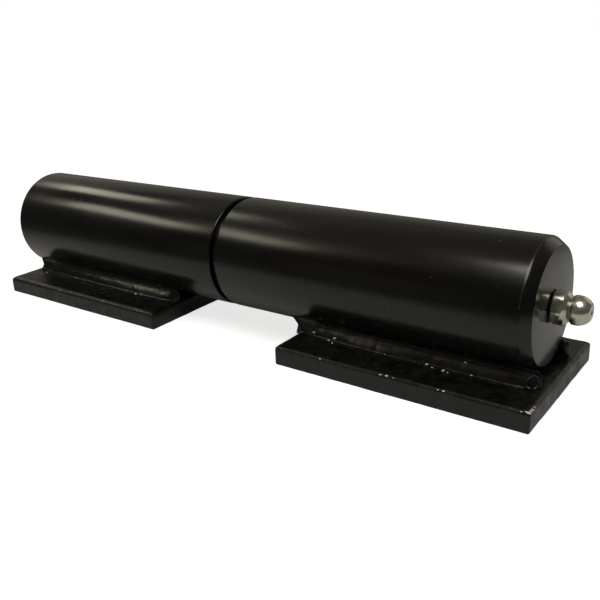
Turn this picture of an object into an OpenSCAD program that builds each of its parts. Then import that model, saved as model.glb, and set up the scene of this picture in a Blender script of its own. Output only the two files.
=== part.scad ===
// Weld-on barrel hinge with a grease nipple, in millimetres.
// The hinge axis runs along X, +X towards the nipple. Z is up and the plates stand on Z = 0.
// The origin is the middle of the whole length, at floor height, under the hinge axis.

/* [Barrels] */
// Outside diameter of both barrels
barrel_d = 30; // [28:0.5:34]
// Length of the barrel that holds the pin
pin_barrel_len = 82.4; // [76:0.1:90]
// Length of the barrel that turns on the pin
socket_barrel_len = 84.1; // [82:0.1:92]
// Width of the groove between the two barrels
joint_gap = 1.8; // [1.6:0.1:2.4]
// Length of the chamfer at the nipple end
end_chamfer_len = 2.4; // [1:0.1:3]
// Depth of the chamfer at the nipple end, measured inwards
end_chamfer_in = 1.7; // [1:0.1:2.4]
// Broken edge on the other barrel rims and bore mouths
rim_break = 0.4; // [0.2:0.1:0.8]
// Solid wall between the ball's seat and the nipple end face
end_wall = 8; // [7:0.5:10]

/* [Hinge pin] */
// Diameter of the pin
pin_d = 16; // [14:0.5:17]
// Length of the pin pressed into its barrel
pin_hold = 46; // [36:1:56]
// Chamfer on both ends of the pin
pin_lead = 1.2; // [0.6:0.1:2]
// Width of the grease groove along the top of the pin
groove_w = 2.4; // [1.6:0.2:3]
// Length of plain pin left between the grease groove and the joint
groove_stop = 8; // [5:1:14]

/* [Bushes and ring] */
// Wall thickness of the bushes
bush_wall = 1.95; // [1.2:0.05:2.6]
// Length of each bush
bush_len = 20; // [14:1:22]
// Chamfer on the bush ends
bush_break = 0.5; // [0.2:0.1:0.8]
// Radial clearance between the pin and what turns on it
running_play = 0.05; // [0.02:0.01:0.1]
// Outside diameter of the ring in the groove between the barrels
ring_d = 26; // [22:0.5:27]
// Thickness of the ring, less than the groove's width
ring_t = 1.5; // [1:0.1:1.5]

/* [Ball] */
// Diameter of the ball that carries the weight
ball_d = 12; // [10:0.5:13]
// Half angle of the two conical seats
seat_angle = 60; // [50:1:65]
// Clearance between the ball and each seat
ball_play = 0.02; // [0.01:0.01:0.05]
// Radius of the conical seat where it meets the pin's end
seat_rim_r = 4; // [3.6:0.1:5]

/* [Plates] */
// Width of both plates across the hinge
plate_w = 41; // [38:0.5:60]
// Thickness of both plates
plate_t = 5; // [4:0.5:8]
// Length of the plate under the pin barrel
pin_plate_len = 65.8; // [60:0.1:72]
// Length of the plate under the socket barrel
socket_plate_len = 64.5; // [60:0.1:72]
// How far the pin plate reaches past its barrel's outer end
pin_plate_over = 1.7; // [0:0.1:4]
// How far the socket plate reaches past the nipple end face
socket_plate_over = 3.4; // [1:0.1:5]
// Rounding of the sheared upper edges
plate_round = 0.8; // [0.3:0.1:1.5]
// Opening at the root, between barrel and plate, closed by the welds
root_gap = 0.3; // [0.1:0.05:0.5]

/* [Welds] */
// Radius of the weld bead
bead_r = 3.6; // [3.2:0.1:4]
// Sideways distance from the hinge axis to the middle of a bead
bead_y = 8.6; // [8:0.1:9]
// Distance from one weld ripple to the next
ripple_pitch = 2.2; // [1.6:0.1:3]
// Depth of the ripples
ripple_depth = 0.22; // [0.1:0.01:0.3]
// Distance from the inner end of a weld to the plate's inner end
weld_inner_stop = 0.6; // [0.2:0.1:4]
// Distance from the outer end of a weld to the plate's outer end
weld_outer_stop = 2; // [1:0.1:6]

/* [Grease nipple] */
// Outside diameter of the nipple's thread
thread_d = 6; // [5.5:0.1:6.5]
// Distance from one thread ridge to the next
thread_pitch = 1; // [0.75:0.25:1]
// Length of the thread
thread_len = 5.5; // [4.5:0.5:6]
// Depth of the thread
thread_depth = 0.55; // [0.4:0.05:0.6]
// Clearance between the nipple's thread and its hole
thread_play = 0.04; // [0.02:0.01:0.08]
// Width of the hexagon across its flats
hex_af = 7; // [6.5:0.5:8]
// Height of the hexagon
hex_len = 3.2; // [2.8:0.1:4]
// Height of the bevel on the hexagon's corners
hex_bevel = 0.5; // [0.3:0.1:0.8]
// Angle at which the hexagon stops when the nipple is tight
hex_turn = 35; // [0:5:55]
// Diameter of the neck behind the head
neck_d = 5.2; // [4.6:0.1:5.4]
// Length of the neck
neck_len = 0.4; // [0.3:0.1:0.8]
// Diameter of the head
head_d = 6.5; // [6.3:0.1:6.7]
// Length of the cone from the neck out to the head
head_back = 0.6; // [0.4:0.05:0.8]
// Length of the straight part of the head
head_land = 1; // [0.8:0.1:1.3]
// Length of the head's rounded nose, up to its flat tip
head_nose = 2.7; // [2.5:0.1:2.8]
// Diameter of the passage through the nipple
passage_d = 2.6; // [2.5:0.1:2.8]
// Diameter of the opening in the tip
tip_hole_d = 1.2; // [1:0.1:1.3]
// Length of that opening outside the ball's seat
tip_land = 0.2; // [0.1:0.05:0.3]
// Diameter of the small check ball
check_d = 2.2; // [2.1:0.05:2.3]
// Length of the lip that holds the spring in
lip_len = 0.8; // [0.5:0.1:1]
// Diameter of the opening inside that lip
lip_d = 1.5; // [1.2:0.1:1.6]

/* [Nipple spring] */
// Thickness of the spring wire
wire_d = 0.3; // [0.2:0.05:0.35]
// Outside diameter of the spring
spring_od = 2.2; // [2:0.05:2.3]
// Turns in the spring
spring_turns = 8; // [6:1:10]

/* [Hidden] */
$fn = 96;
eps = 0.01;
barrel_r = barrel_d / 2;
pin_r = pin_d / 2;
bore_r = pin_r + running_play;
bush_r = bore_r + bush_wall;
plate_half = plate_w / 2;
axis_z = plate_t + root_gap + barrel_r;
mouth_x = joint_gap;
face_x = joint_gap + socket_barrel_len;
face_r = barrel_r - end_chamfer_in;
pin_barrel_end = -pin_barrel_len;
// The ball touches each seat one radius away from the cone's wall.
ball_r = ball_d / 2;
seat_reach = (ball_r + ball_play) / sin(seat_angle);
bore_cone_tip = face_x - end_wall;
bore_cone_len = bush_r / tan(seat_angle);
ball_x = bore_cone_tip - seat_reach;
pin_cone_tip = ball_x - seat_reach;
pin_end = pin_cone_tip + seat_rim_r / tan(seat_angle);
mouth_bush_x = mouth_x + bush_break;
base_bush_x = pin_end - pin_lead - bush_len;
pin_plate_x = pin_barrel_end - pin_plate_over;
socket_plate_end = face_x + socket_plate_over;
socket_plate_x = socket_plate_end - socket_plate_len;
bead_lift = 0.3;
bead_z = -barrel_r - root_gap + bead_lift;
end_steps = 6;
hex_r = hex_af / 2 / cos(30);
head_x = hex_len + neck_len;
land_x = head_x + head_back;
nose_x = land_x + head_land;
tip_x = nose_x + head_nose;
nose_steps = 8;
check_r = check_d / 2;
check_seat_slope = 45;
check_seat_len = (passage_d - tip_hole_d) / 2;
check_seat_x = tip_x - tip_land - check_seat_len;
check_x = check_seat_x + passage_d / 2 - (check_r + ball_play) / sin(check_seat_slope);
spring_x = -thread_len + lip_len;
spring_len = check_x - check_r - spring_x - ball_play;
coil_r = spring_od / 2 - wire_d / 2;
length_start = pin_plate_x;
length_end = face_x + tip_x;
centre_x = -(length_start + length_end) / 2;
black = [0.07, 0.07, 0.065];
bare_steel = [0.62, 0.63, 0.65];
bronze = [0.66, 0.47, 0.24];
zinc = [0.78, 0.77, 0.68];

// Piece to draw, or all of them

// Moves a piece from the hinge axis to its place above the floor.
module on_axis() {
    translate([centre_x, 0, axis_z]) children();
}

// Turns a profile of [radius, distance along the hinge] points into a solid around the axis.
module turned(profile) {
    rotate([0, 90, 0]) rotate_extrude() polygon(profile);
}

// A round hole or bar along the hinge axis.
module bar(r, x0, x1) {
    translate([x0, 0, 0]) rotate([0, 90, 0]) cylinder(h = x1 - x0, r = r);
}

// Ridges and roots of a thread as [radius, distance] points, from x0 for whole turns.
function thread_points(r, x0, turns) = [
    for (i = [0 : turns - 1])
        each [[r - thread_depth, x0 + i * thread_pitch],
              [r, x0 + (i + 0.5) * thread_pitch]]
];

// Pieces of the pin side

module pin_barrel() {
    color(black) on_axis() difference() {
        turned([[0, pin_barrel_end], [barrel_r - rim_break, pin_barrel_end],
                [barrel_r, pin_barrel_end + rim_break], [barrel_r, -rim_break],
                [barrel_r - rim_break, 0], [0, 0]]);
        bar(pin_r, -pin_hold, eps);
    }
}

module hinge_pin() {
    groove_r = groove_w / 2;
    color(bare_steel) on_axis() difference() {
        turned([[0, -pin_hold], [pin_r - pin_lead, -pin_hold], [pin_r, -pin_hold + pin_lead],
                [pin_r, pin_end - pin_lead], [pin_r - pin_lead, pin_end],
                [seat_rim_r, pin_end], [0, pin_cone_tip]]);
        translate([0, 0, pin_r]) bar(groove_r, mouth_x + groove_stop, pin_end + eps);
    }
}

// A flat plate with its sheared upper edges rounded over.
module plate(x0, len) {
    translate([centre_x + x0, 0, 0]) intersection() {
        rotate([90, 0, 90]) linear_extrude(len) plate_profile(-plate_half, plate_half);
        translate([0, plate_half, 0]) rotate([90, 0, 0]) linear_extrude(plate_w)
            plate_profile(0, len);
    }
}

module plate_profile(a, b) {
    union() {
        translate([a, 0]) square([b - a, plate_t - plate_round]);
        translate([a + plate_round, 0]) square([b - a - 2 * plate_round, plate_t]);
        for (c = [a + plate_round, b - plate_round])
            translate([c, plate_t - plate_round]) circle(r = plate_round);
    }
}

module pin_plate() {
    color(black) plate(pin_plate_x, pin_plate_len);
}

// Outline of a rippled bead with a rounded end at each side.
function bead_points(len) =
    let (ripples = floor((len - 2 * bead_r) / ripple_pitch))
    let (start = (len - ripples * ripple_pitch) / 2)
    concat(
        [for (i = [0 : end_steps]) let (a = 90 * i / end_steps)
            [bead_r * sin(a) - (i == end_steps ? ripple_depth : 0), start * (1 - cos(a))]],
        [for (i = [0 : ripples - 1]) each [
            [bead_r, start + (i + 0.4) * ripple_pitch],
            [bead_r - ripple_depth, start + (i + 1) * ripple_pitch]]],
        [for (i = [end_steps - 1 : -1 : 0]) let (a = 90 * i / end_steps)
            [bead_r * sin(a), len - start * (1 - cos(a))]]
    );

// A weld bead in the corner between a barrel and a plate; side is -1 in front and 1 behind.
module weld(x0, x1, side) {
    on_axis() difference() {
        translate([x0, side * bead_y, bead_z]) turned(bead_points(x1 - x0));
        bar(barrel_r, x0 - eps, min(x1 + eps, face_x));
        translate([x0 - eps, -plate_half, -barrel_r - root_gap - plate_t])
            cube([x1 - x0 + 2 * eps, plate_w, plate_t]);
    }
}

module pin_weld(side) {
    weld(pin_plate_x + weld_outer_stop, pin_plate_x + pin_plate_len - weld_inner_stop, side);
}

module pin_plate_front_weld() {
    color(black) pin_weld(-1);
}

module pin_plate_back_weld() {
    color(black) pin_weld(1);
}

// The ring in the groove, and the ball

module gap_ring() {
    color(bare_steel) on_axis() turned([[bore_r, 0], [ring_d / 2, 0],
        [ring_d / 2, ring_t], [bore_r, ring_t]]);
}

module thrust_ball() {
    color(bare_steel) on_axis() translate([ball_x, 0, 0]) sphere(r = ball_r);
}

// Pieces of the socket side

module socket_barrel() {
    tap_r = thread_d / 2 + thread_play;
    thread_turns = round(thread_len / thread_pitch + 0.5);
    thread_start = face_x - thread_turns * thread_pitch;
    feed_r = thread_d / 2 - thread_depth - thread_play;
    color(black) on_axis() difference() {
        turned([[0, mouth_x], [barrel_r - rim_break, mouth_x],
                [barrel_r, mouth_x + rim_break], [barrel_r, face_x - end_chamfer_len],
                [face_r, face_x], [0, face_x]]);
        turned([[0, mouth_x - eps], [bush_r + rim_break, mouth_x - eps],
                [bush_r, mouth_x + rim_break], [bush_r, bore_cone_tip - bore_cone_len],
                [0, bore_cone_tip]]);
        bar(feed_r, bore_cone_tip - bore_cone_len, face_x + eps);
        turned(concat([[0, thread_start]], thread_points(tap_r, thread_start, thread_turns),
                      [[tap_r - thread_depth, face_x + eps], [0, face_x + eps]]));
    }
}

module bush(x0) {
    color(bronze) on_axis() turned([[bore_r, x0 + bush_break], [bore_r + bush_break, x0],
        [bush_r - bush_break, x0], [bush_r, x0 + bush_break], [bush_r, x0 + bush_len - bush_break],
        [bush_r - bush_break, x0 + bush_len], [bore_r + bush_break, x0 + bush_len],
        [bore_r, x0 + bush_len - bush_break]]);
}

module mouth_bush() {
    bush(mouth_bush_x);
}

module base_bush() {
    bush(base_bush_x);
}

module socket_plate() {
    color(black) plate(socket_plate_x, socket_plate_len);
}

module socket_weld(side) {
    weld(socket_plate_x + weld_inner_stop, socket_plate_end - weld_outer_stop, side);
}

module socket_plate_front_weld() {
    color(black) socket_weld(-1);
}

module socket_plate_back_weld() {
    color(black) socket_weld(1);
}

// The grease nipple, measured from the end face outwards

module at_face() {
    on_axis() translate([face_x, 0, 0]) children();
}

module nipple_body() {
    thread_turns = floor(thread_len / thread_pitch);
    thread_start = -thread_turns * thread_pitch;
    core_r = thread_d / 2 - thread_depth;
    head_r = head_d / 2;
    passage_r = passage_d / 2;
    nose = [for (i = [1 : nose_steps]) let (a = asin(head_nose / head_r) * i / nose_steps)
        [head_r * cos(a), nose_x + head_r * sin(a)]];
    color(zinc) at_face() difference() {
        union() {
            turned(concat([[0, -thread_len], [core_r, -thread_len]],
                thread_points(thread_d / 2, thread_start, thread_turns),
                [[core_r, 0], [core_r, hex_len], [neck_d / 2, hex_len], [neck_d / 2, head_x],
                 [head_r, land_x], [head_r, nose_x]], nose, [[0, tip_x]]));
            intersection() {
                rotate([0, 90, 0]) rotate(hex_turn) cylinder(h = hex_len, r = hex_r, $fn = 6);
                turned([[0, 0], [hex_r, 0], [hex_r, hex_len - hex_bevel],
                        [hex_af / 2, hex_len], [0, hex_len]]);
            }
        }
        bar(lip_d / 2, -thread_len - eps, spring_x + eps);
        bar(passage_r, spring_x, check_seat_x);
        turned([[0, check_seat_x - eps], [passage_r, check_seat_x - eps], [passage_r, check_seat_x],
                [tip_hole_d / 2, tip_x - tip_land], [tip_hole_d / 2, tip_x + eps],
                [0, tip_x + eps]]);
    }
}

module nipple_check_ball() {
    color(bare_steel) at_face() translate([check_x, 0, 0]) sphere(r = check_r);
}

// A round wire wound along the nipple's passage.
module nipple_spring() {
    coil_steps = 18;
    wire_sides = 10;
    coil_len = spring_len - wire_d;
    wire_stretch = 1.5;
    color(bare_steel) at_face() translate([spring_x + wire_d / 2, 0, 0]) rotate([0, 90, 0])
        linear_extrude(height = coil_len, twist = -360 * spring_turns,
                       slices = spring_turns * coil_steps, $fn = wire_sides)
            translate([coil_r, 0]) scale([1, wire_stretch]) circle(d = wire_d);
}

pin_barrel();
hinge_pin();
pin_plate();
pin_plate_front_weld();
pin_plate_back_weld();
gap_ring();
socket_barrel();
mouth_bush();
base_bush();
thrust_ball();
socket_plate();
socket_plate_front_weld();
socket_plate_back_weld();
nipple_body();
nipple_check_ball();
nipple_spring();
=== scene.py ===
"""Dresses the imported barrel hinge: painted barrels, plates and welds, and a bright grease nipple."""

import logging
import math
import random
from dataclasses import dataclass
from enum import Enum
from typing import Callable, Iterable

import bpy
from mathutils import Matrix, Quaternion, Vector

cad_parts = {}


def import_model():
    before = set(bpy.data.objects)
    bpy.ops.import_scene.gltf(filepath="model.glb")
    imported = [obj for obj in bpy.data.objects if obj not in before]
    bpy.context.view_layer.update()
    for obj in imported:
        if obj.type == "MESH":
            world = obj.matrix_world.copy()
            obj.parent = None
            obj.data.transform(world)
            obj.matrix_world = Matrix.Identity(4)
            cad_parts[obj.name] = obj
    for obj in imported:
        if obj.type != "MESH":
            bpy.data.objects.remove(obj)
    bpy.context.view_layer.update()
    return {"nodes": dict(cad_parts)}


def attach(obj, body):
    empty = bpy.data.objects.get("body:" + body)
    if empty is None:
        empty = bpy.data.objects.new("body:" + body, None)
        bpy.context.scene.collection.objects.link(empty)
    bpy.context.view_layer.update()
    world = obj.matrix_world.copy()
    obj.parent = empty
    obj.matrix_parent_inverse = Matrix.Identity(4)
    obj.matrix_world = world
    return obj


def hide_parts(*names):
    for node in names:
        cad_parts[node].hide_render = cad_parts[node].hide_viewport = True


LOG = logging.getLogger("hinge")
MM = 0.001
# Places along the hinge are in millimetres from the pin barrel's joint face, which stands here.
JOINT_X = -4.85 * MM
AXIS_Z = 20.3 * MM
BEAD_SIDES, BEAD_RINGS = 14, 8

Pair = tuple[float, float]
Point = tuple[float, float]
Place = tuple[float, float, float]
Colour = tuple[float, float, float]
# (x, y, z, radius) in millimetres
Bead = tuple[float, float, float, float]
Object = bpy.types.Object
Material = bpy.types.Material
Socket = bpy.types.NodeSocket


class Side(Enum):
    """Which side of the hinge axis a weld lies on."""

    FRONT = -1
    BACK = 1


# Small steps that the pieces share


def deselect() -> None:
    """Leaves nothing selected, in object mode."""
    if bpy.context.object and bpy.context.object.mode != "OBJECT":
        bpy.ops.object.mode_set(mode="OBJECT")
    bpy.ops.object.select_all(action="DESELECT")


def activate(obj: Object) -> None:
    """Makes one object the only selected and active one.

    Args:
        obj: the object.
    """
    deselect()
    obj.select_set(True)
    bpy.context.view_layer.objects.active = obj


def edit(obj: Object) -> None:
    """Enters edit mode on one object, to select its vertices.

    Args:
        obj: the object.
    """
    activate(obj)
    bpy.ops.object.mode_set(mode="EDIT")
    bpy.ops.mesh.select_mode(type="VERT")


def leave() -> None:
    """Returns to object mode."""
    bpy.ops.object.mode_set(mode="OBJECT")


def pick(obj: Object, wanted: Callable[[bpy.types.MeshVertex], bool]) -> None:
    """Opens a mesh for editing with the vertices selected that a test picks.

    Args:
        obj: the mesh's object.
        wanted: says whether a vertex is picked.
    """
    edit(obj)
    bpy.ops.mesh.select_all(action="DESELECT")
    leave()
    for vertex in obj.data.vertices:
        vertex.select = wanted(vertex)
    edit(obj)


def apply_modifier(obj: Object, kind: str, **values: object) -> None:
    """Adds a modifier, sets it and applies it.

    Args:
        obj: the mesh object.
        kind: Blender's modifier type.
        values: the modifier's settings.
    """
    activate(obj)
    made = obj.modifiers.new(kind.lower(), kind)
    for key, value in values.items():
        setattr(made, key, value)
    bpy.ops.object.modifier_apply(modifier=made.name)


def roughen(obj: Object, label: str, size: float, depth: float, middle: float, detail: int) -> None:
    """Moves a mesh's surface in and out by a cloudy pattern.

    Args:
        obj: the mesh object.
        label: ends the pattern's name.
        size: the pattern's size in millimetres.
        depth: its full depth in millimetres.
        middle: the share of the depth that lies inwards.
        detail: how many finer layers the pattern has.
    """
    clouds = bpy.data.textures.new(f"{obj.name}_{label}", "CLOUDS")
    clouds.noise_scale, clouds.noise_depth = size * MM, detail
    apply_modifier(obj, "DISPLACE", texture=clouds, texture_coords="LOCAL",
                   strength=depth * MM, mid_level=middle)


def spot(x: float, y: float = 0.0, z: float | None = None) -> Place:
    """The place in the scene of a point given in millimetres; on the hinge axis without a height."""
    return JOINT_X + x * MM, y * MM, AXIS_Z if z is None else z * MM


def settle(name: str) -> Object:
    """Names the object that was just added, and puts its place, turn and scale into its mesh.

    Args:
        name: the object's name.

    Returns:
        The object.
    """
    obj = bpy.context.object
    obj.name = name
    bpy.ops.object.transform_apply(location=True, rotation=True, scale=True)
    return obj


def finish_mesh(obj: Object, angle: float = 30.0) -> Object:
    """Merges doubled vertices, points normals outwards and smooths flat angles.

    Args:
        obj: the mesh object.
        angle: the largest angle in degrees that shades smooth.

    Returns:
        The same object.
    """
    activate(obj)
    bpy.ops.object.transform_apply(location=True, rotation=True, scale=True)
    edit(obj)
    bpy.ops.mesh.select_all(action="SELECT")
    bpy.ops.mesh.remove_doubles(threshold=1e-7)
    bpy.ops.mesh.normals_make_consistent(inside=False)
    leave()
    bpy.ops.object.shade_smooth_by_angle(angle=math.radians(angle))
    return obj


def join(piece: Object, others: Iterable[Object]) -> None:
    """Joins other objects to a piece.

    Args:
        piece: the piece that they become part of.
        others: the objects.
    """
    deselect()
    for other in others:
        other.select_set(True)
    piece.select_set(True)
    bpy.context.view_layer.objects.active = piece
    bpy.ops.object.join()


def arc(centre: Point, radius: float, start: float, end: float, steps: int) -> list[Point]:
    """Points on an arc, in (distance along the axis, radius) coordinates.

    Args:
        centre: the arc's centre.
        radius: the arc's radius.
        start: start angle in degrees.
        end: end angle in degrees.
        steps: number of straight pieces.

    Returns:
        The points in order.
    """
    out: list[Point] = []
    for i in range(steps + 1):
        a = math.radians(start + (end - start) * i / steps)
        out.append((centre[0] + radius * math.cos(a), centre[1] + radius * math.sin(a)))
    return out


def turned(name: str, profile: list[Point], steps: int = 128) -> Object:
    """Turns a piece on the hinge axis by extruding and resizing a ring from point to point.

    Args:
        name: the object's name.
        profile: (x, radius) points in millimetres; a closed outline ends where it began, and
            any other is capped at both ends.
        steps: corners round the ring.

    Returns:
        The finished mesh object.
    """
    deselect()
    x0, r0 = profile[0]
    bpy.ops.mesh.primitive_circle_add(vertices=steps, radius=r0 * MM, location=spot(x0),
                                      rotation=(0, math.pi / 2, 0))
    obj = settle(name)
    edit(obj)
    bpy.ops.mesh.select_all(action="SELECT")
    for (xa, ra), (xb, rb) in zip(profile, profile[1:]):
        bpy.ops.mesh.extrude_region_move(TRANSFORM_OT_translate={"value": ((xb - xa) * MM, 0, 0)})
        share = rb / ra
        bpy.ops.transform.resize(value=(1, share, share), center_override=spot(xb))
    if profile[-1] != profile[0]:
        bpy.ops.mesh.edge_face_add()
        leave()
        pick(obj, lambda vertex: vertex.index < steps)
        bpy.ops.mesh.edge_face_add()
    leave()
    return finish_mesh(obj)


def bead(at: Bead, squash: Place, turn: Place = (0.0, 0.0, 0.0)) -> Object:
    """One small bead of metal.

    Args:
        at: its place and radius.
        squash: its scale along each axis.
        turn: its turn about each axis in radians.

    Returns:
        The bead.
    """
    deselect()
    bpy.ops.mesh.primitive_uv_sphere_add(
        segments=BEAD_SIDES, ring_count=BEAD_RINGS, radius=at[3] * MM, scale=squash,
        location=spot(*at[:3]), rotation=turn)
    return settle("bead")


def add_specks(piece: Object, specks: Iterable[Bead], bare: Material, way: int = 1) -> None:
    """Adds small beads of bare metal to a dressed piece, each turned a little by its place.

    Args:
        piece: the dressed piece.
        specks: the beads' places and radii.
        bare: their finish.
        way: -1 to put them on the other side of the hinge axis.
    """
    count = len(piece.data.polygons)
    join(piece, [bead((x, way * y, z, size), (1.3, 0.8, 0.65),
                      (0.0, math.radians(17 * math.sin(x * 9)), math.radians(25 * math.cos(x * 7))))
                 for x, y, z, size in specks])
    piece.data.materials.append(bare)
    for face in piece.data.polygons:
        if face.index >= count:
            face.material_index = 1
            face.use_smooth = True


def dress(piece: Object, material: Material, node: str, body: str) -> None:
    """Gives a piece its finish and its place in the frame.

    Args:
        piece: the finished piece.
        material: its finish.
        node: the CAD node that it stands for.
        body: the body that it rides on.
    """
    piece.data.materials.clear()
    piece.data.materials.append(material)
    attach(piece, body)
    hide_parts(node)
    LOG.info("%s: %d faces", piece.name, len(piece.data.polygons))


# Finishes, with places in millimetres, depths in metres and pattern scales per metre


class Nodes:
    """Adds and joins the nodes of one shader tree."""

    def __init__(self, tree: bpy.types.NodeTree) -> None:
        """Takes the tree."""
        self.tree = tree

    def feed(self, socket: Socket, value: object) -> None:
        """Feeds an input.

        Args:
            socket: the input.
            value: another node's output or a plain value.
        """
        if isinstance(value, bpy.types.NodeSocket):
            self.tree.links.new(value, socket)
        else:
            socket.default_value = value

    def add(self, kind: str, *inputs: object, **values: object) -> bpy.types.Node:
        """Adds a node, sets its properties and feeds its inputs.

        Args:
            kind: the node's type name.
            inputs: what its first inputs get, in order.
            values: properties, or inputs by name with spaces as underscores.

        Returns:
            The node.
        """
        node = self.tree.nodes.new(kind)
        for key, value in values.items():
            socket = node.inputs.get(key.replace("_", " "))
            if socket is not None:
                self.feed(socket, value)
            else:
                setattr(node, key, value)
        for socket, value in zip(node.inputs, inputs):
            self.feed(socket, value)
        return node

    def math(self, operation: str, *inputs: object, **values: object) -> Socket:
        """The result of a sum on values."""
        return self.add("ShaderNodeMath", *inputs, operation=operation, **values).outputs[0]


class Coat(Nodes):
    """The nodes of one finish: a surface shader fed by patterns on object coordinates."""

    def __init__(self, name: str) -> None:
        """Starts a material with its shader.

        Args:
            name: the material's name.
        """
        self.material = bpy.data.materials.new(name)
        self.material.use_nodes = True
        super().__init__(self.material.node_tree)
        self.place = self.add("ShaderNodeTexCoord").outputs["Object"]

    def give(self, **inputs: object) -> Material:
        """Feeds the shader.

        Args:
            inputs: what its inputs get, by name with spaces as underscores.

        Returns:
            The finished material.
        """
        shader = self.tree.nodes["Principled BSDF"]
        for key, value in inputs.items():
            self.feed(shader.inputs[key.replace("_", " ")], value)
        return self.material

    def noise(self, scale: float, detail: float, stretch: Place = (1, 1, 1)) -> Socket:
        """Cloudy noise.

        Args:
            scale: pattern scale per metre.
            detail: octaves.
            stretch: scale along each axis.

        Returns:
            The noise's value.
        """
        mapping = self.add("ShaderNodeMapping", self.place, Scale=stretch)
        return self.add("ShaderNodeTexNoise", mapping.outputs["Vector"], Scale=scale,
                        Detail=detail).outputs["Fac"]

    def ramp(self, source: Socket, *stops: tuple[float, Colour]) -> Socket:
        """Turns a value into a colour.

        Args:
            source: the value.
            stops: a position and a colour each.

        Returns:
            The colour.
        """
        made = self.add("ShaderNodeValToRGB", source)
        for element, (at, colour) in zip(made.color_ramp.elements, stops):
            element.position = at
            element.color = (*colour, 1)
        return made.outputs["Color"]

    def spread(self, source: Socket, low: float, high: float) -> Socket:
        """Spreads the middle stretch of a noise over a range.

        Args:
            source: the noise.
            low: the result at 0.3 and below.
            high: the result at 0.7 and above.

        Returns:
            The value.
        """
        return self.add("ShaderNodeMapRange", source, From_Min=0.3, From_Max=0.7, To_Min=low,
                        To_Max=high).outputs["Result"]

    def plus(self, a: Socket, b: Socket) -> Socket:
        """Adds two colours."""
        return self.add("ShaderNodeVectorMath", a, b, operation="ADD").outputs[0]

    def along(self, axis: str) -> Socket:
        """A point's place along an axis in metres."""
        return self.add("ShaderNodeSeparateXYZ", self.place).outputs[axis]

    def blend(self, share: Socket, under: Socket, over: Colour) -> Socket:
        """Lays a colour over another.

        Args:
            share: how much of the upper colour shows.
            under: the lower colour.
            over: the upper colour.

        Returns:
            The mixed colour.
        """
        made = self.add("ShaderNodeMix", share, data_type="RGBA")
        self.feed(made.inputs[6], under)
        self.feed(made.inputs[7], (*over, 1))
        return made.outputs[2]

    def bump(self, source: Socket, depth: float, under: Socket | None = None) -> Socket:
        """Adds a bump, on top of another where given.

        Args:
            source: the height.
            depth: the height's full depth in metres.
            under: the normal that it lies on.

        Returns:
            The normal.
        """
        made = self.add("ShaderNodeBump", Strength=1.0, Distance=depth, Height=source)
        if under is not None:
            self.feed(made.inputs["Normal"], under)
        return made.outputs["Normal"]


@dataclass(frozen=True)
class BlackEnamel:
    """Glossy black enamel over turned bar: orange peel, thin spots, dust and a painted highlight along
    the top of the chamfer edge.
    """

    name: str = "black_enamel"
    dark: Colour = (0.0019, 0.0018, 0.0014)
    pale: Colour = (0.0052, 0.0049, 0.0040)
    dust: Colour = (0.030, 0.029, 0.026)
    # The colour of the painted highlight along the top of the chamfer edge.
    painted_highlight: Colour = (0.040, 0.038, 0.034)
    roughness: Pair = (0.17, 0.27)
    stretch: Place = (0.25, 1, 1)
    cloud_scale: float = 60
    dust_scale: float = 950
    gloss_scale: float = 140
    wave_scale: float = 38
    wave_depth: float = 0.04 * MM
    peel_scale: float = 1500
    peel_depth: float = 0.009 * MM
    # Where the painted highlight on the chamfer edge lies, and how it breaks up.
    highlight_at: float = 83.42
    highlight_half: float = 0.11
    highlight_above: float = 24.0
    highlight_scale: float = 260
    face_at: float = 85.8
    face_gloss: float = 0.7

    def build(self) -> Material:
        """Makes the material.

        Returns:
            The material.
        """
        n = Coat(self.name)
        cloud = n.ramp(n.noise(self.cloud_scale, 5, self.stretch), (0.35, self.dark), (0.7, self.pale))
        dust = n.ramp(n.noise(self.dust_scale, 1), (0.735, (0, 0, 0)), (0.79, self.dust))
        on_face = n.math("GREATER_THAN", n.along("X"), spot(self.face_at)[0])
        gloss = n.spread(n.noise(self.gloss_scale, 4, self.stretch), *self.roughness)
        wave = n.bump(n.noise(self.wave_scale, 2, self.stretch), self.wave_depth)
        return n.give(
            # Painted highlight: a pale broken line laid over the enamel colour along the top of the
            # chamfer edge.
            Base_Color=n.blend(self.painted_highlight_line(n), n.plus(cloud, dust), self.painted_highlight),
            Roughness=n.math("MULTIPLY", gloss, n.spread(on_face, 1.0, self.face_gloss)),
            Normal=n.bump(n.noise(self.peel_scale, 2), self.peel_depth, wave))

    def painted_highlight_line(self, n: Coat) -> Socket:
        """A painted highlight: a thin broken ring where the chamfer begins, on the upper side only,
        standing in for the lamps' reflection in the edge.

        Args:
            n: the material's nodes.

        Returns:
            How much of the painted highlight shows, 0 to 1.
        """
        near = n.math("COMPARE", n.along("X"), spot(self.highlight_at)[0], self.highlight_half * MM)
        broken_highlight = n.math("MULTIPLY", near, n.spread(n.noise(self.highlight_scale, 3), 0.0, 0.9))
        above = n.math("GREATER_THAN", n.along("Z"), self.highlight_above * MM)
        return n.math("MULTIPLY", broken_highlight, above)


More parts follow.
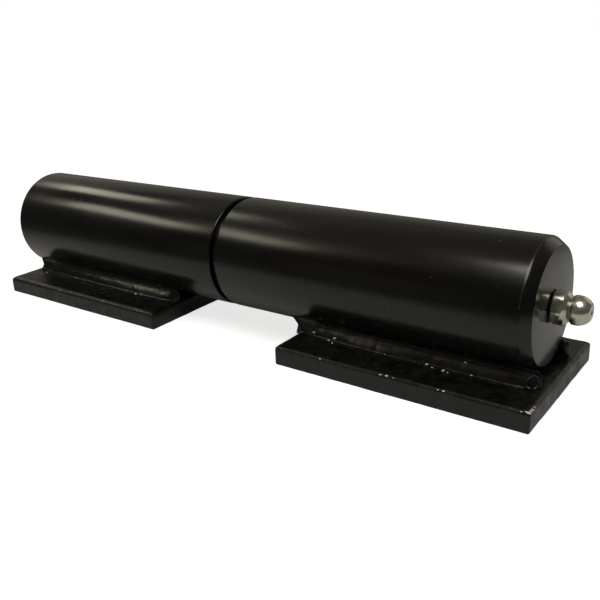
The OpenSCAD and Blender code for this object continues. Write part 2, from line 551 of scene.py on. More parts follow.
@dataclass(frozen=True)
class ShearedEnamel:
    """The enamel over rough bar: mottled and satin, with upright shear marks on the cut faces."""

    name: str = "sheared_enamel"
    dark: Colour = (0.0022, 0.0021, 0.0018)
    pale: Colour = (0.0110, 0.0103, 0.0088)
    dust: Colour = (0.045, 0.043, 0.038)
    roughness: Pair = (0.26, 0.46)
    mottle_scale: float = 430
    dust_scale: float = 1100
    gloss_scale: float = 260
    mark_scale: float = 900
    mark_depth: float = 0.06 * MM
    skin_scale: float = 380
    skin_depth: float = 0.22 * MM

    def build(self) -> Material:
        """Makes the material.

        Returns:
            The material.
        """
        n = Coat(self.name)
        mottle = n.ramp(n.noise(self.mottle_scale, 6, (1, 1, 0.6)), (0.42, self.dark),
                        (0.74, self.pale))
        dust = n.ramp(n.noise(self.dust_scale, 2), (0.70, (0, 0, 0)), (0.77, self.dust))
        marks = n.bump(n.noise(self.mark_scale, 4, (1, 1, 0.12)), self.mark_depth)
        return n.give(
            Base_Color=n.plus(mottle, dust),
            Roughness=n.spread(n.noise(self.gloss_scale, 5), *self.roughness),
            Normal=n.bump(n.noise(self.skin_scale, 5), self.skin_depth, marks))


@dataclass(frozen=True)
class WeldEnamel:
    """The same enamel over the smooth skin of a weld, with faint uneven ripples across the run."""

    name: str = "weld_enamel"
    dark: Colour = (0.0026, 0.0024, 0.0020)
    pale: Colour = (0.0070, 0.0066, 0.0056)
    roughness: Pair = (0.24, 0.42)
    cloud_scale: float = 420
    gloss_scale: float = 500
    ripple_scale: float = 130
    ripple_depth: float = 0.010 * MM
    skin_scale: float = 500
    skin_depth: float = 0.018 * MM

    def build(self) -> Material:
        """Makes the material.

        Returns:
            The material.
        """
        n = Coat(self.name)
        ripples = n.add("ShaderNodeTexWave", n.place, Scale=self.ripple_scale, Distortion=7.0,
                        Detail=3.0, bands_direction="X")
        rippled = n.bump(ripples.outputs["Fac"], self.ripple_depth)
        return n.give(
            Base_Color=n.ramp(n.noise(self.cloud_scale, 6), (0.42, self.dark), (0.75, self.pale)),
            Roughness=n.spread(n.noise(self.gloss_scale, 4), *self.roughness),
            Normal=n.bump(n.noise(self.skin_scale, 2), self.skin_depth, rippled))


@dataclass(frozen=True)
class MetalLook:
    """Bare metal with fine turning lines round the hinge axis."""

    name: str
    colour: Colour
    pale: Colour
    roughness: Pair = (0.18, 0.34)
    metallic: float = 1.0
    cloud_scale: float = 260
    gloss_scale: float = 600
    line_scale: float = 4200
    line_depth: float = 0.006 * MM

    def build(self) -> Material:
        """Makes the material.

        Returns:
            The material.
        """
        n = Coat(self.name)
        return n.give(
            Metallic=self.metallic,
            Base_Color=n.ramp(n.noise(self.cloud_scale, 5), (0.3, self.colour), (0.75, self.pale)),
            Roughness=n.spread(n.noise(self.gloss_scale, 4), *self.roughness),
            Normal=n.bump(n.noise(self.line_scale, 2, (1, 0.03, 0.03)), self.line_depth))


# Sub-assemblies, with every size in millimetres


@dataclass
class Barrels:
    """The two barrels, each turned from round bar."""

    radius: float = 15.0
    rim: float = 0.45
    pin_len: float = 82.4
    pin_bore: float = 8.0
    pin_hold: float = 46.0
    pin_ease: float = 0.3
    end_middle: float = 6.0
    gap: float = 1.8
    socket_len: float = 84.1
    chamfer_len: float = 2.4
    chamfer_in: float = 1.7
    chamfer_crown: float = 0.03
    chamfer_steps: int = 12
    bush_bore: float = 10.0
    bush_ease: float = 0.4
    bore_tip: float = 77.9
    bore_cone: float = 5.7735
    feed: float = 2.41
    drill_slope: float = 0.577
    thread_bore: float = 3.05
    thread_deep: float = 6.0

    def rim_out(self, x: float, way: int) -> list[Point]:
        """The rounded rim of a barrel.

        Args:
            x: the end face's place.
            way: 1 where the metal lies to the right, -1 where it lies to the left.

        Returns:
            Its points, from left to right.
        """
        centre = (x + way * self.rim, self.radius - self.rim)
        points = arc(centre, self.rim, 180 if way > 0 else 0, 90, 5)
        return points if way > 0 else points[::-1]

    def pin_side(self) -> Object:
        """The left barrel with its blind bore.

        Returns:
            The piece.
        """
        return turned("barrel_pin_side", [
            (-self.pin_len, self.end_middle), *self.rim_out(-self.pin_len, 1),
            *self.rim_out(0, -1), (0, self.pin_bore + self.pin_ease),
            (-self.pin_ease, self.pin_bore), (-self.pin_hold, self.pin_bore)])

    def chamfer(self, face: float, face_r: float) -> list[Point]:
        """The filed chamfer round the end face, slightly crowned.

        Args:
            face: the end face's place.
            face_r: the end face's radius.

        Returns:
            Its points, from the barrel's side to the end face.
        """
        long = math.hypot(self.chamfer_len, self.chamfer_in)
        out_x, out_r = self.chamfer_in / long, self.chamfer_len / long
        points: list[Point] = []
        for i in range(1, self.chamfer_steps):
            t = i / self.chamfer_steps
            crown = self.chamfer_crown * 4 * t * (1 - t)
            points.append((face - self.chamfer_len * (1 - t) + out_x * crown,
                           self.radius - self.chamfer_in * t + out_r * crown))
        return [*points, (face - 0.02, face_r + 0.02), (face, face_r - 0.16)]

    def socket_side(self) -> Object:
        """The right barrel with its chamfer, bore and grease feed.

        Returns:
            The piece.
        """
        face = self.gap + self.socket_len
        mouth = (self.gap, self.bush_bore + self.bush_ease)
        return turned("barrel_socket_side", [
            mouth, *self.rim_out(self.gap, 1), (face - self.chamfer_len - 0.3, self.radius),
            *self.chamfer(face, self.radius - self.chamfer_in),
            (face, self.thread_bore), (face - self.thread_deep, self.thread_bore),
            (face - self.thread_deep, self.feed),
            (self.bore_tip - self.feed * self.drill_slope, self.feed),
            (self.bore_tip - self.bore_cone, self.bush_bore),
            (self.gap + self.bush_ease, self.bush_bore), mouth])

    def build(self, paint: Material, satin: Material) -> None:
        """Builds both barrels and puts them on their bodies.

        Args:
            paint: the enamel of the pin side.
            satin: the duller enamel of the socket side.
        """
        dress(self.pin_side(), paint, "pin_barrel", "pin_leaf")
        dress(self.socket_side(), satin, "socket_barrel", "socket_leaf")


# Burrs where the enamel came off the socket plate: on its front edge, and on the near corner
FRONT_BURRS: tuple[Bead, ...] = (
    (38.7, -20.1, 4.5, 0.20), (54.8, -20.1, 4.6, 0.24), (56.3, -20.05, 4.64, 0.32),
    (58.1, -20.1, 4.55, 0.18), (68.9, -20.1, 4.6, 0.22), (70.2, -20.1, 4.62, 0.28))
CORNER_BURRS: tuple[Bead, ...] = (
    (88.7, -19.9, 4.66, 0.40), (88.2, -19.9, 4.74, 0.26), (88.85, -19.2, 4.75, 0.26),
    (88.85, -20.1, 4.1, 0.24), (88.9, -20.1, 3.4, 0.20), (88.9, -20.1, 2.6, 0.18),
    (88.9, -18.4, 4.76, 0.30), (87.3, -20.1, 4.62, 0.20), (88.9, -17.2, 4.72, 0.18))


@dataclass
class Plate:
    """One flat plate, sheared from bar, with rounded upper edges and a rough skin."""

    half: str
    start: float
    length: float
    seed: int
    round_over: float = 0.9
    own_burrs: tuple[Bead, ...] = ()
    width: float = 41.0
    thick: float = 5.0
    ease: float = 0.3
    voxel: float = 0.31
    foot_cut: float = 0.18
    burr_count: int = 12

    def block(self) -> Object:
        """The plain plate, with its upper edges rounded and then every edge eased.

        Returns:
            The plate.
        """
        deselect()
        middle = self.start + self.length / 2
        bpy.ops.mesh.primitive_cube_add(size=1, location=spot(middle, 0, self.thick / 2),
                                        scale=(self.length * MM, self.width * MM, self.thick * MM))
        obj = settle(f"plate_{self.half}_side")
        pick(obj, lambda vertex: vertex.co.z > self.thick / 2 * MM)
        bpy.ops.mesh.bevel(offset=self.round_over * MM, segments=4, profile=0.5, affect="EDGES")
        bpy.ops.mesh.select_all(action="SELECT")
        bpy.ops.mesh.bevel(offset=self.ease * MM, segments=3, profile=0.5, affect="EDGES")
        leave()
        return finish_mesh(obj, 35)

    def flatten_foot(self, obj: Object) -> None:
        """Cuts the plate off above every hollow of its underside, and sets the cut on the floor.

        Args:
            obj: the plate.
        """
        edit(obj)
        bpy.ops.mesh.select_all(action="SELECT")
        bpy.ops.mesh.bisect(plane_co=(0, 0, self.foot_cut * MM), plane_no=(0, 0, 1), use_fill=True,
                            clear_inner=True, threshold=1e-7)
        leave()
        pick(obj, lambda vertex: vertex.co.z < (self.foot_cut + 0.0001) * MM)
        bpy.ops.transform.translate(value=(0, 0, -self.foot_cut * MM))
        leave()

    def burrs(self) -> list[Bead]:
        """Small burrs scattered along the upper front and back edges, then the plate's own.

        Returns:
            Their places and radii.
        """
        rng = random.Random(self.seed)
        out: list[Bead] = []
        for _ in range(self.burr_count):
            side = -1 if rng.random() < 0.5 else 1
            x = self.start + self.length * rng.uniform(0.03, 0.97)
            out.append((x, side * (20.05 + rng.uniform(-0.15, 0.1)),
                        4.60 + rng.uniform(-0.12, 0.08), rng.uniform(0.10, 0.19)))
        return [*out, *self.own_burrs]

    def build(self, paint: Material, bare: Material) -> None:
        """Builds and dresses the plate.

        Args:
            paint: the enamel.
            bare: the finish of its burrs.
        """
        obj = self.block()
        apply_modifier(obj, "REMESH", mode="VOXEL", voxel_size=self.voxel * MM)
        roughen(obj, "waves", size=6.0, depth=0.12, middle=0.9, detail=2)
        roughen(obj, "pits", size=1.1, depth=0.07, middle=0.8, detail=2)
        self.flatten_foot(obj)
        activate(obj)
        bpy.ops.object.shade_smooth()
        for face in obj.data.polygons:
            face.use_smooth = face.center.z > 0.01 * MM
        dress(obj, paint, f"{self.half}_plate", f"{self.half}_leaf")
        add_specks(obj, self.burrs(), bare)


@dataclass(frozen=True)
class Run:
    """Where the two welds of one half lie, and how far their lower edge reaches along the run."""

    half: str
    start: float
    end: float
    flare: float
    toe: tuple[Point, ...]
    glints: tuple[Bead, ...]


PIN_RUN = Run(
    "pin", -80.7, -19.0, flare=1.7,
    toe=((-81.8, 9.6), (-77.5, 10.0), (-65.3, 10.9), (-50.7, 11.6), (-36.6, 12.0), (-28.5, 12.2),
         (-21.0, 11.6), (-19.0, 10.6)),
    glints=((-76.4, -12.2, 5.1, 0.24), (-63.0, -11.1, 5.2, 0.22), (-34.1, -11.9, 5.2, 0.30),
            (-32.0, -11.6, 5.3, 0.22)))
SOCKET_RUN = Run(
    "socket", 24.9, 86.9, flare=3.4,
    toe=((24.9, 9.9), (28.5, 10.0), (29.6, 10.9), (33.0, 11.3), (35.9, 11.4), (44.0, 12.1),
         (51.3, 12.4), (62.2, 11.6), (75.0, 12.0), (82.0, 11.7), (86.9, 10.4)),
    glints=((29.9, -10.5, 6.0, 0.36), (36.7, -11.2, 6.1, 0.38), (35.1, -11.5, 5.3, 0.26),
            (36.4, -12.0, 5.1, 0.22), (51.0, -11.6, 5.3, 0.24), (61.9, -11.4, 5.3, 0.36),
            (63.5, -12.0, 5.1, 0.20), (66.3, -12.1, 5.1, 0.34), (67.5, -12.5, 5.1, 0.20),
            (70.6, -10.0, 7.3, 0.28), (72.8, -11.6, 5.4, 0.22)))


@dataclass
class Weld:
    """One weld: a smooth fillet run along the corner, hollow where the arc was broken off."""

    run: Run
    side: Side
    seed: int
    root: Point = (9.1, 4.8)
    thinnest: float = 0.28
    ring_step: float = 0.5
    end_steps: tuple[float, ...] = (0.0, 0.08, 0.2, 0.4, 0.7, 1.1)
    # (reach, share of the full size at the very end)
    start_round: Pair = (0.9, 0.93)
    end_round: Pair = (0.7, 0.86)
    # (length, share of the size before) of the rings that close the far end
    cap: tuple[Pair, ...] = ((0.16, 0.94), (0.20, 0.84), (0.14, 0.70), (0.06, 0.45))
    cap_z: float = 6.0
    wetting: float = 2.6
    wetted_from: float = 8.8
    # (lowest, highest, share of the flare along the hinge, way outwards)
    start_bands: tuple[tuple[float, float, float, float], ...] = (
        (8.05, 8.5, 0.15, 0.0), (8.5, 8.8, 0.5, 0.0), (8.8, 9.4, 1.0, 0.0),
        (4.5, 5.3, 0.0, 1.1), (5.3, 5.9, 0.0, 0.6), (5.9, 6.5, 0.0, 0.2))
    crater_back: float = 1.05
    crater_at: Point = (10.34, 6.44)
    crater_radii: Pair = (1.20, 0.30)
    crater_turn: Pair = (48, 42)
    crater_scale: Place = (1.0, 1.3, 0.8)
    crater_rough: float = 0.20
    drop_count: int = 12
    section: tuple[Point, ...] = (
        (12.62, 4.80), (12.68, 4.95), (12.62, 5.02), (12.38, 5.05), (12.15, 5.11), (11.95, 5.22),
        (11.80, 5.36), (11.70, 5.50), (11.42, 5.96), (11.10, 6.40), (10.72, 6.80), (10.32, 7.14),
        (10.10, 7.40), (10.00, 7.58), (9.86, 7.66), (9.70, 7.66), (9.60, 7.80), (9.60, 8.10),
        (9.66, 8.42), (9.74, 8.68),
        (9.78, 8.96), (9.30, 8.98), (8.60, 8.70), (8.00, 8.40), (7.40, 7.70), (7.40, 6.30),
        (7.40, 4.80), (9.90, 4.80))

    def places(self) -> list[float]:
        """Where the rings stand along the hinge, closer together near the ends.

        Returns:
            Their places in order.
        """
        near, start, end = self.end_steps, self.run.start, self.run.end
        count = round((end - start - 2 * near[-1]) / self.ring_step)
        step = (end - start - 2 * near[-1]) / count
        middle = [start + near[-1] + step * i for i in range(count + 1)]
        return [start + n for n in near[:-1]] + middle + [end - n for n in reversed(near[:-1])]

    def toe_at(self, x: float) -> float:
        """How far from the hinge axis the lower edge of the weld lies.

        Args:
            x: the place along the hinge.

        Returns:
            The distance.
        """
        for (xa, ya), (xb, yb) in zip(self.run.toe, self.run.toe[1:]):
            if x <= xb:
                return ya + (yb - ya) * max(0.0, x - xa) / (xb - xa)
        return self.run.toe[-1][1]

    def rounding(self, away: float, end: Pair) -> float:
        """How full the run is near one end.

        Args:
            away: the distance from that end.
            end: the rounding's reach and its share at the end itself.

        Returns:
            The share of the full size.
        """
        reach, least = end
        t = min(1.0, away / reach)
        return least + (1 - least) * math.sqrt(1 - (1 - t) ** 2)

    def outline(self) -> Object:
        """Draws the weld's section at its start by extruding one corner round it.

        Returns:
            The weld's object, in edit mode with the section selected.
        """
        deselect()
        way = self.side.value
        y0, z0 = self.section[0]
        bpy.ops.mesh.primitive_plane_add(size=0.1 * MM, location=spot(self.run.start, way * y0, z0))
        obj = settle(f"weld_{self.run.half}_{self.side.name.lower()}")
        edit(obj)
        bpy.ops.mesh.select_all(action="SELECT")
        bpy.ops.mesh.merge(type="CENTER")
        closed = [*self.section, self.section[0]]
        for (ya, za), (yb, zb) in zip(closed, closed[1:]):
            bpy.ops.mesh.extrude_vertices_move(
                TRANSFORM_OT_translate={"value": (0, way * (yb - ya) * MM, (zb - za) * MM)})
        bpy.ops.mesh.select_all(action="SELECT")
        bpy.ops.mesh.remove_doubles(threshold=1e-6)
        bpy.ops.mesh.select_all(action="SELECT")
        bpy.ops.mesh.edge_face_add()
        bpy.ops.mesh.select_mode(type="FACE")
        bpy.ops.mesh.select_all(action="SELECT")
        return obj

    def walk(self, rng: random.Random) -> Object:
        """Walks the section along the corner, ring by ring, and closes the far end.

        Args:
            rng: the weld's own random numbers.

        Returns:
            The run.
        """
        obj = self.outline()
        way = self.side.value
        full = self.section[0][0] - self.root[0]
        across, up, size = 0.0, 0.0, (1.0, 1.0)
        last = self.run.start
        for x in self.places():
            across = across * 0.88 + rng.gauss(0, 0.009)
            up = up * 0.90 + rng.gauss(0, 0.005)
            reach = max(self.thinnest, (self.toe_at(x) - self.root[0]) / full)
            far = self.rounding(self.run.end - x, self.end_round)
            near = self.rounding(x - self.run.start, self.start_round)
            new = (reach * (1 + across) * (near * far), (1 + up) * far)
            if x > self.run.start:
                bpy.ops.mesh.extrude_region_move(
                    TRANSFORM_OT_translate={"value": ((x - last) * MM, 0, 0)})
            bpy.ops.transform.resize(value=(1, new[0] / size[0], new[1] / size[1]),
                                     center_override=spot(x, way * self.root[0], self.root[1]))
            size, last = new, x
        middle = self.root[0] + 0.9 * size[0]
        for move, share in self.cap:
            bpy.ops.mesh.extrude_region_move(TRANSFORM_OT_translate={"value": (move * MM, 0, 0)})
            last += move
            bpy.ops.transform.resize(value=(1, share, share),
                                     center_override=spot(last, way * middle, self.cap_z))
        leave()
        self.spread_start(obj)
        return finish_mesh(obj, 180)

    def spread_start(self, obj: Object) -> None:
        """Draws the start of the run out along the barrel, where the metal wetted it.

        Args:
            obj: the run.
        """
        for place in (p for p in self.places() if p - self.run.start < self.wetting):
            fade = (1 - (place - self.run.start) / self.wetting) ** 2
            for low, high, along, out in self.start_bands:
                pick(obj, lambda vertex: abs((vertex.co.x - JOINT_X) / MM - place) < 0.03
                     and low < vertex.co.z / MM < high
                     and abs(vertex.co.y) / MM > self.wetted_from)
                bpy.ops.transform.translate(
                    value=(-self.run.flare * along * fade * MM, self.side.value * out * fade * MM, 0))
                leave()

    def crater(self) -> Object:
        """The low ring round the crater where the arc was broken off at the end of the run.

        Returns:
            The ring.
        """
        way = self.side.value
        tilt, swing = self.crater_turn
        deselect()
        bpy.ops.mesh.primitive_torus_add(
            major_segments=15, minor_segments=7, major_radius=self.crater_radii[0] * MM,
            minor_radius=self.crater_radii[1] * MM,
            location=spot(self.run.end - self.crater_back, way * self.crater_at[0], self.crater_at[1]),
            rotation=(-way * math.radians(tilt), math.radians(swing), 0))
        bpy.context.object.scale = self.crater_scale
        ring = settle("crater")
        edit(ring)
        bpy.ops.mesh.select_all(action="SELECT")
        bpy.ops.transform.vertex_random(offset=self.crater_rough * MM, uniform=1.0, normal=0.0,
                                        seed=self.seed)
        leave()
        return ring

    def spatter(self, rng: random.Random) -> list[Object]:
        """Small drops on the run and along its lower edge.

        Args:
            rng: the weld's own random numbers.

        Returns:
            The drops.
        """
        drops: list[Object] = []
        for _ in range(self.drop_count):
            x = rng.uniform(self.run.start + 1, self.run.end - 1)
            on_plate = rng.random() < 0.7
            size = rng.uniform(0.16, 0.34)
            y = self.toe_at(x) + rng.uniform(-0.2, 0.5) if on_plate else 10.6 + rng.uniform(-0.4, 0.4)
            z = 5.05 if on_plate else 7.0
            drops.append(bead((x, self.side.value * y, z, size), (1.2, 1, 0.6)))
        return drops

    def build(self, paint: Material, bare: Material) -> None:
        """Builds and dresses the weld.

        Args:
            paint: the enamel over it.
            bare: the finish of the spatter that the enamel left bare.
        """
        rng = random.Random(self.seed)
        obj = self.walk(rng)
        join(obj, [self.crater()])
        apply_modifier(obj, "SUBSURF", levels=2, render_levels=2)
        roughen(obj, "lumps", size=3.4, depth=0.20, middle=0.5, detail=1)
        join(obj, self.spatter(rng))
        activate(obj)
        bpy.ops.object.shade_smooth()
        half = self.run.half
        dress(obj, paint, f"{half}_plate_{self.side.name.lower()}_weld", f"{half}_leaf")
        add_specks(obj, self.run.glints, bare, -self.side.value)


@dataclass
class Nipple:
    """The grease nipple: thread, hexagon, neck and ball head."""

    face: float = 85.9
    thread_long: float = 5.5
    thread_r: float = 2.95
    thread_depth: float = 0.55
    thread_turns: int = 5
    lip: float = 0.75
    lip_long: float = 0.8
    hex_af: float = 7.0
    hex_turn: float = 25.0
    hex_start: float = 0.30
    hex_long: float = 3.35
    hex_limit: float = 3.84
    collar: float = 2.35
    neck: float = 2.3
    head_from: float = 4.2
    head: float = 3.25
    land: float = 1.0
    nose: float = 2.7
    tip_hole: float = 0.6
    passage: float = 1.3
    drill: float = 2.1

    def body_profile(self) -> list[Point]:
        """The turned outline from the inner end round the head and back down the passage.

        Returns:
            Its points, closed.
        """
        f = self.face
        inner = (f - self.thread_long, self.lip)
        thread_foot = self.thread_r - self.thread_depth
        land_x = f + self.head_from
        nose_x = land_x + self.land
        tip_x = nose_x + self.nose
        hex_end = f + self.hex_start + self.hex_long
        points: list[Point] = [inner, (inner[0], thread_foot)]
        for i in range(self.thread_turns):
            points += [(f - 5.0 + i, thread_foot), (f - 4.55 + i, self.thread_r),
                       (f - 4.45 + i, self.thread_r)]
        points += [(f + 0.02, thread_foot), (f + 0.06, self.collar), (hex_end - 0.3, self.collar),
                   (hex_end + 0.02, self.neck + 0.12), (hex_end + 0.12, self.neck),
                   (hex_end + 0.24, self.neck + 0.04), (land_x - 0.24, 2.78), (land_x - 0.12, 3.02),
                   (land_x + 0.04, 3.18), (land_x + 0.24, self.head), (nose_x, self.head)]
        reach = math.degrees(math.asin(self.nose / self.head))
        points += arc((nose_x, 0), self.head, 90, 90 - reach + 2.5, 12)[1:]
        tip_r = self.head * math.cos(math.radians(reach))
        passage_x = inner[0] + self.lip_long
        points += [(tip_x, tip_r - 0.1), (tip_x, self.tip_hole + 0.1), (tip_x - 0.08, self.tip_hole),
                   (tip_x - 0.2, self.tip_hole), (tip_x - 0.9, self.passage),
                   (passage_x, self.passage), (passage_x, self.lip), inner]
        return points

    def hexagon(self) -> Object:
        """The hexagon with its corners turned off, bored for the body.

        Returns:
            The hexagon.
        """
        deselect()
        back, front = self.face + self.hex_start, self.face + self.hex_start + self.hex_long
        limit, hollow = self.hex_limit, 0.5
        bpy.ops.mesh.primitive_cylinder_add(
            vertices=6, radius=self.hex_af / 2 / math.cos(math.radians(30)) * MM,
            depth=self.hex_long * MM, location=spot((back + front) / 2),
            rotation=(math.pi / 2, math.radians(self.hex_turn), math.pi / 2))
        obj = settle("nipple_hexagon")
        edit(obj)
        bpy.ops.mesh.select_all(action="SELECT")
        bpy.ops.mesh.bevel(offset=0.14 * MM, segments=2, affect="EDGES")
        leave()
        cone = turned("nipple_cone", [
            (back - 0.1, hollow), (back - 0.1, limit - 0.22), (back + 0.12, limit - 0.03),
            (back + 0.3, limit), (front - 1.25, limit), (front - 1.05, limit - 0.06),
            (front - 0.18, 3.0), (front + 0.1, 2.62), (front + 0.1, hollow)], 64)
        drill_end = self.face + self.hex_long + 1.5
        drill = turned("nipple_drill", [(self.face - 0.5, 0.4), (self.face - 0.5, self.drill),
                                        (drill_end, self.drill), (drill_end, 0.4)], 64)
        for operation, tool in (("INTERSECT", cone), ("DIFFERENCE", drill)):
            apply_modifier(obj, "BOOLEAN", operation=operation, object=tool, solver="EXACT")
            bpy.data.objects.remove(tool)
        return obj

    def build(self, zinc: Material, paint: Material) -> None:
        """Builds and dresses the nipple's body.

        Args:
            zinc: its plating.
            paint: the black enamel laid on the collar and thread behind the hexagon as painted shade.
        """
        obj = turned("grease_nipple", self.body_profile(), 72)
        hexagon = self.hexagon()
        apply_modifier(obj, "BOOLEAN", operation="UNION", object=hexagon, solver="EXACT")
        bpy.data.objects.remove(hexagon)
        finish_mesh(obj, 28)
        dress(obj, zinc, "nipple_body", "socket_leaf")
        # Painted shade: the collar and thread behind the hexagon take the black enamel, where the
        # hexagon and the end face darken them.
        obj.data.materials.append(paint)
        painted_shade_to = spot(self.face + self.hex_start - 0.02)[0]
        for face in obj.data.polygons:
            if face.center.x < painted_shade_to:
                face.material_index = 1


# The room


@dataclass(frozen=True)
class Lamp:
    """One soft rectangular lamp, aimed at a place on the hinge axis; its sizes are in metres."""

    name: str
    azimuth: float
    elevation: float
    distance: float
    width: float
    height: float
    radiance: float
    colour: Colour
    roll: float = 0.0
    seen_from: float = 0.0

    def build(self) -> None:
        """Makes the lamp; azimuth 0 is in front of the hinge and 90 to its right."""
        a, e = math.radians(self.azimuth), math.radians(self.elevation)
        way = Vector((math.sin(a) * math.cos(e), -math.cos(a) * math.cos(e), math.sin(e)))
        data = bpy.data.lights.new(self.name, "AREA")
        data.shape, data.size, data.size_y = "RECTANGLE", self.width, self.height
        data.energy = self.radiance * math.pi * self.width * self.height
        data.color = self.colour
        lamp = bpy.data.objects.new(self.name, data)
        bpy.context.scene.collection.objects.link(lamp)
        lamp.location = Vector((self.seen_from * MM, 0, AXIS_Z)) + way * self.distance
        lamp.rotation_mode = "QUATERNION"
        turn = Quaternion((0, 0, 1), math.radians(self.roll))
        lamp.rotation_quaternion = (-way).to_track_quat("-Z", "Y") @ turn


WARM, DIM, CLAY = (1.0, 0.985, 0.76), (1.0, 0.91, 0.78), (1.0, 0.56, 0.42)
LAMPS = (
    Lamp("key", 45, 63, 0.5, 0.26, 0.26, 4.8, (1.0, 0.99, 0.95)),
    Lamp("far_window", -101.5, 39, 0.8, 0.13, 0.27, 3.2, WARM, roll=-16, seen_from=-60),
    Lamp("near_window", -59.5, 34.6, 0.7, 0.30, 0.11, 4.3, WARM, roll=17, seen_from=-30),
    Lamp("wall_glow", -54, 42, 1.3, 0.34, 0.34, 0.18, (1.0, 0.86, 0.72)),
    Lamp("clay_wall", -42, 46, 1.3, 0.42, 0.34, 0.24, CLAY),
    Lamp("upper_wall", -125, 51, 1.5, 2.2, 0.42, 0.07, DIM),
    Lamp("ceiling", 0, 89, 1.6, 3.0, 3.0, 0.10, DIM),
    Lamp("left_wall", -150, 20, 1.4, 2.4, 1.0, 0.18, DIM),
    Lamp("right_wall", 157, 20, 1.4, 0.9, 0.9, 0.5, DIM),
    Lamp("front_wall", -22, 8, 1.6, 0.9, 0.6, 0.07, DIM))


def empty_tree(owner: Material | bpy.types.World) -> Nodes:
    """Gives a material or a world an empty shader tree.

    Args:
        owner: the material or the world.

    Returns:
        The tree's nodes.
    """
    owner.use_nodes = True
    owner.node_tree.nodes.clear()
    return Nodes(owner.node_tree)


def seen_share(n: Nodes, mirrored: float) -> Socket:
    """One for the camera and through glass, a share in mirror images, and nothing for other light.

    Args:
        n: the nodes to add to.
        mirrored: the share in mirror images.

    Returns:
        The share.
    """
    path = n.add("ShaderNodeLightPath").outputs
    straight = n.math("ADD", path["Is Camera Ray"], path["Is Transmission Ray"], use_clamp=True)
    return n.math("MULTIPLY_ADD", path["Is Glossy Ray"], mirrored, straight, use_clamp=True)


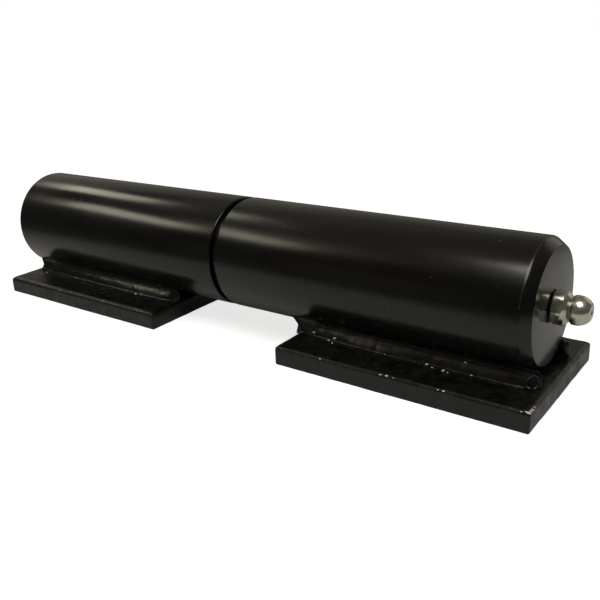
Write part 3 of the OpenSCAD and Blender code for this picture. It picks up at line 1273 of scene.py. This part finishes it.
@dataclass(frozen=True)
class Room:
    """Floor, surroundings, lamps and camera."""

    surround: Colour = (0.044, 0.041, 0.036)
    room_share: float = 0.02
    floor_size: float = 12.0
    floor_drop: float = 0.02
    # The floor's colour is a painted pool of light: pale near the hinge, dark beyond.
    floor_pool_albedo: float = 0.8
    floor_dim_albedo: float = 0.10
    floor_lift: Pair = (0.74, 1.0)
    floor_share: float = 0.04
    pool_reach: Pair = (0.082, 0.140)
    pool_middle: Pair = (0.056, 0.014)
    pool_squeeze: float = 0.5
    photo_px: float = 600
    focal_px: float = 750.91
    sensor: float = 36
    eye: Place = (131.708, -151.831, 60.397)
    right: Place = (0.80982, 0.58508, -0.0433)
    down: Place = (0.17444, -0.31059, -0.9344)
    ahead: Place = (-0.56015, 0.74914, -0.35358)

    def far(self, n: Nodes, near: float, away: float) -> Socket:
        """A value that changes from the painted pool of light under the hinge to the rest of the
        floor.

        Args:
            n: the floor material's nodes.
            near: its value in the painted pool of light.
            away: its value beyond.

        Returns:
            The value.
        """
        squeeze, (middle_x, middle_y) = self.pool_squeeze, self.pool_middle
        from_middle = n.add(
            "ShaderNodeVectorMath", n.add("ShaderNodeTexCoord").outputs["Object"],
            (squeeze, 1, 1), (-squeeze * middle_x, -middle_y, 0), operation="MULTIPLY_ADD")
        length = n.add("ShaderNodeVectorMath", from_middle.outputs["Vector"], operation="LENGTH")
        return n.add("ShaderNodeMapRange", length.outputs["Value"], *self.pool_reach, near, away,
                     interpolation_type="SMOOTHSTEP").outputs["Result"]

    def floor(self) -> None:
        """A pale floor that the camera sees white, with the hinge's soft shadow; its colour is a
        painted pool of light, pale under the hinge and dark beyond.
        """
        deselect()
        bpy.ops.mesh.primitive_plane_add(size=self.floor_size, location=(0, 0, -self.floor_drop * MM))
        obj = bpy.context.object
        obj.name = "floor"
        material = bpy.data.materials.new("floor")
        n = empty_tree(material)
        # Painted pool of light: the floor's colour is pale under the hinge and dark beyond.
        diffuse = n.add("ShaderNodeBsdfDiffuse", self.far(n, self.floor_pool_albedo, self.floor_dim_albedo))
        seen = n.math("MULTIPLY", seen_share(n, self.floor_share), self.far(n, *self.floor_lift))
        glow = n.add("ShaderNodeEmission", Strength=seen)
        both = n.add("ShaderNodeAddShader", diffuse.outputs[0], glow.outputs[0])
        n.add("ShaderNodeOutputMaterial", both.outputs[0])
        obj.data.materials.append(material)

    def world(self) -> None:
        """White to the camera, dim all round the hinge."""
        world = bpy.data.worlds.new("room")
        bpy.context.scene.world = world
        n = empty_tree(world)
        dim = n.add("ShaderNodeBackground", (*self.surround, 1))
        white = n.add("ShaderNodeBackground", (1, 1, 1, 1))
        mix = n.add("ShaderNodeMixShader", seen_share(n, self.room_share), dim.outputs[0],
                    white.outputs[0])
        n.add("ShaderNodeOutputWorld", mix.outputs[0])

    def camera(self) -> None:
        """The camera, at the photograph's place and angle."""
        data = bpy.data.cameras.new("camera")
        data.sensor_width = self.sensor
        data.lens = self.focal_px * self.sensor / self.photo_px
        data.clip_start = 0.005
        obj = bpy.data.objects.new("camera", data)
        bpy.context.scene.collection.objects.link(obj)
        turn = Matrix((Vector(self.right), -Vector(self.down), -Vector(self.ahead))).transposed()
        eye = Vector(self.eye) * MM + Vector((JOINT_X, 0, AXIS_Z))
        obj.matrix_world = Matrix.Translation(eye) @ turn.to_4x4()
        bpy.context.scene.camera = obj

    def build(self) -> None:
        """Makes the whole room."""
        self.floor()
        self.world()
        self.camera()
        for lamp in LAMPS:
            lamp.build()
        bpy.context.scene.view_settings.view_transform = "Standard"


def main() -> None:
    """Builds every sub-assembly in order."""
    logging.basicConfig(level=logging.INFO, format="%(message)s")
    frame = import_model()
    nodes = frame["nodes"]
    paint = BlackEnamel().build()
    satin = BlackEnamel("satin_black_enamel", roughness=(0.20, 0.30)).build()
    sheared = ShearedEnamel().build()
    weld_paint = WeldEnamel().build()
    bare = MetalLook("bare_steel", (0.030, 0.029, 0.026), (0.085, 0.082, 0.074), (0.30, 0.50)).build()
    zinc = MetalLook("bright_zinc", (0.50, 0.50, 0.40), (0.76, 0.76, 0.64), (0.15, 0.29), 0.9).build()
    steel = MetalLook("ground_steel", (0.42, 0.42, 0.42), (0.60, 0.60, 0.60)).build()
    bronze = MetalLook("bearing_bronze", (0.42, 0.26, 0.11), (0.62, 0.42, 0.20)).build()
    ball = MetalLook("polished_ball", (0.62, 0.62, 0.62), (0.72, 0.72, 0.72), (0.05, 0.12)).build()
    Barrels().build(paint, satin)
    Plate("pin", -84.1, 65.8, 21, round_over=1.25).build(sheared, bare)
    Plate("socket", 24.8, 64.5, 22, own_burrs=FRONT_BURRS + CORNER_BURRS).build(sheared, bare)
    seed = 11
    for run in (PIN_RUN, SOCKET_RUN):
        for side in Side:
            Weld(run, side, seed).build(weld_paint, bare)
            seed += 1
    Nipple().build(zinc, paint)
    for node, look in (("hinge_pin", steel), ("gap_ring", steel), ("thrust_ball", ball),
                       ("nipple_check_ball", ball), ("nipple_spring", steel),
                       ("mouth_bush", bronze), ("base_bush", bronze)):
        nodes[node].data.materials.clear()
        nodes[node].data.materials.append(look)
    Room().build()


if __name__ == "__main__":
    main()
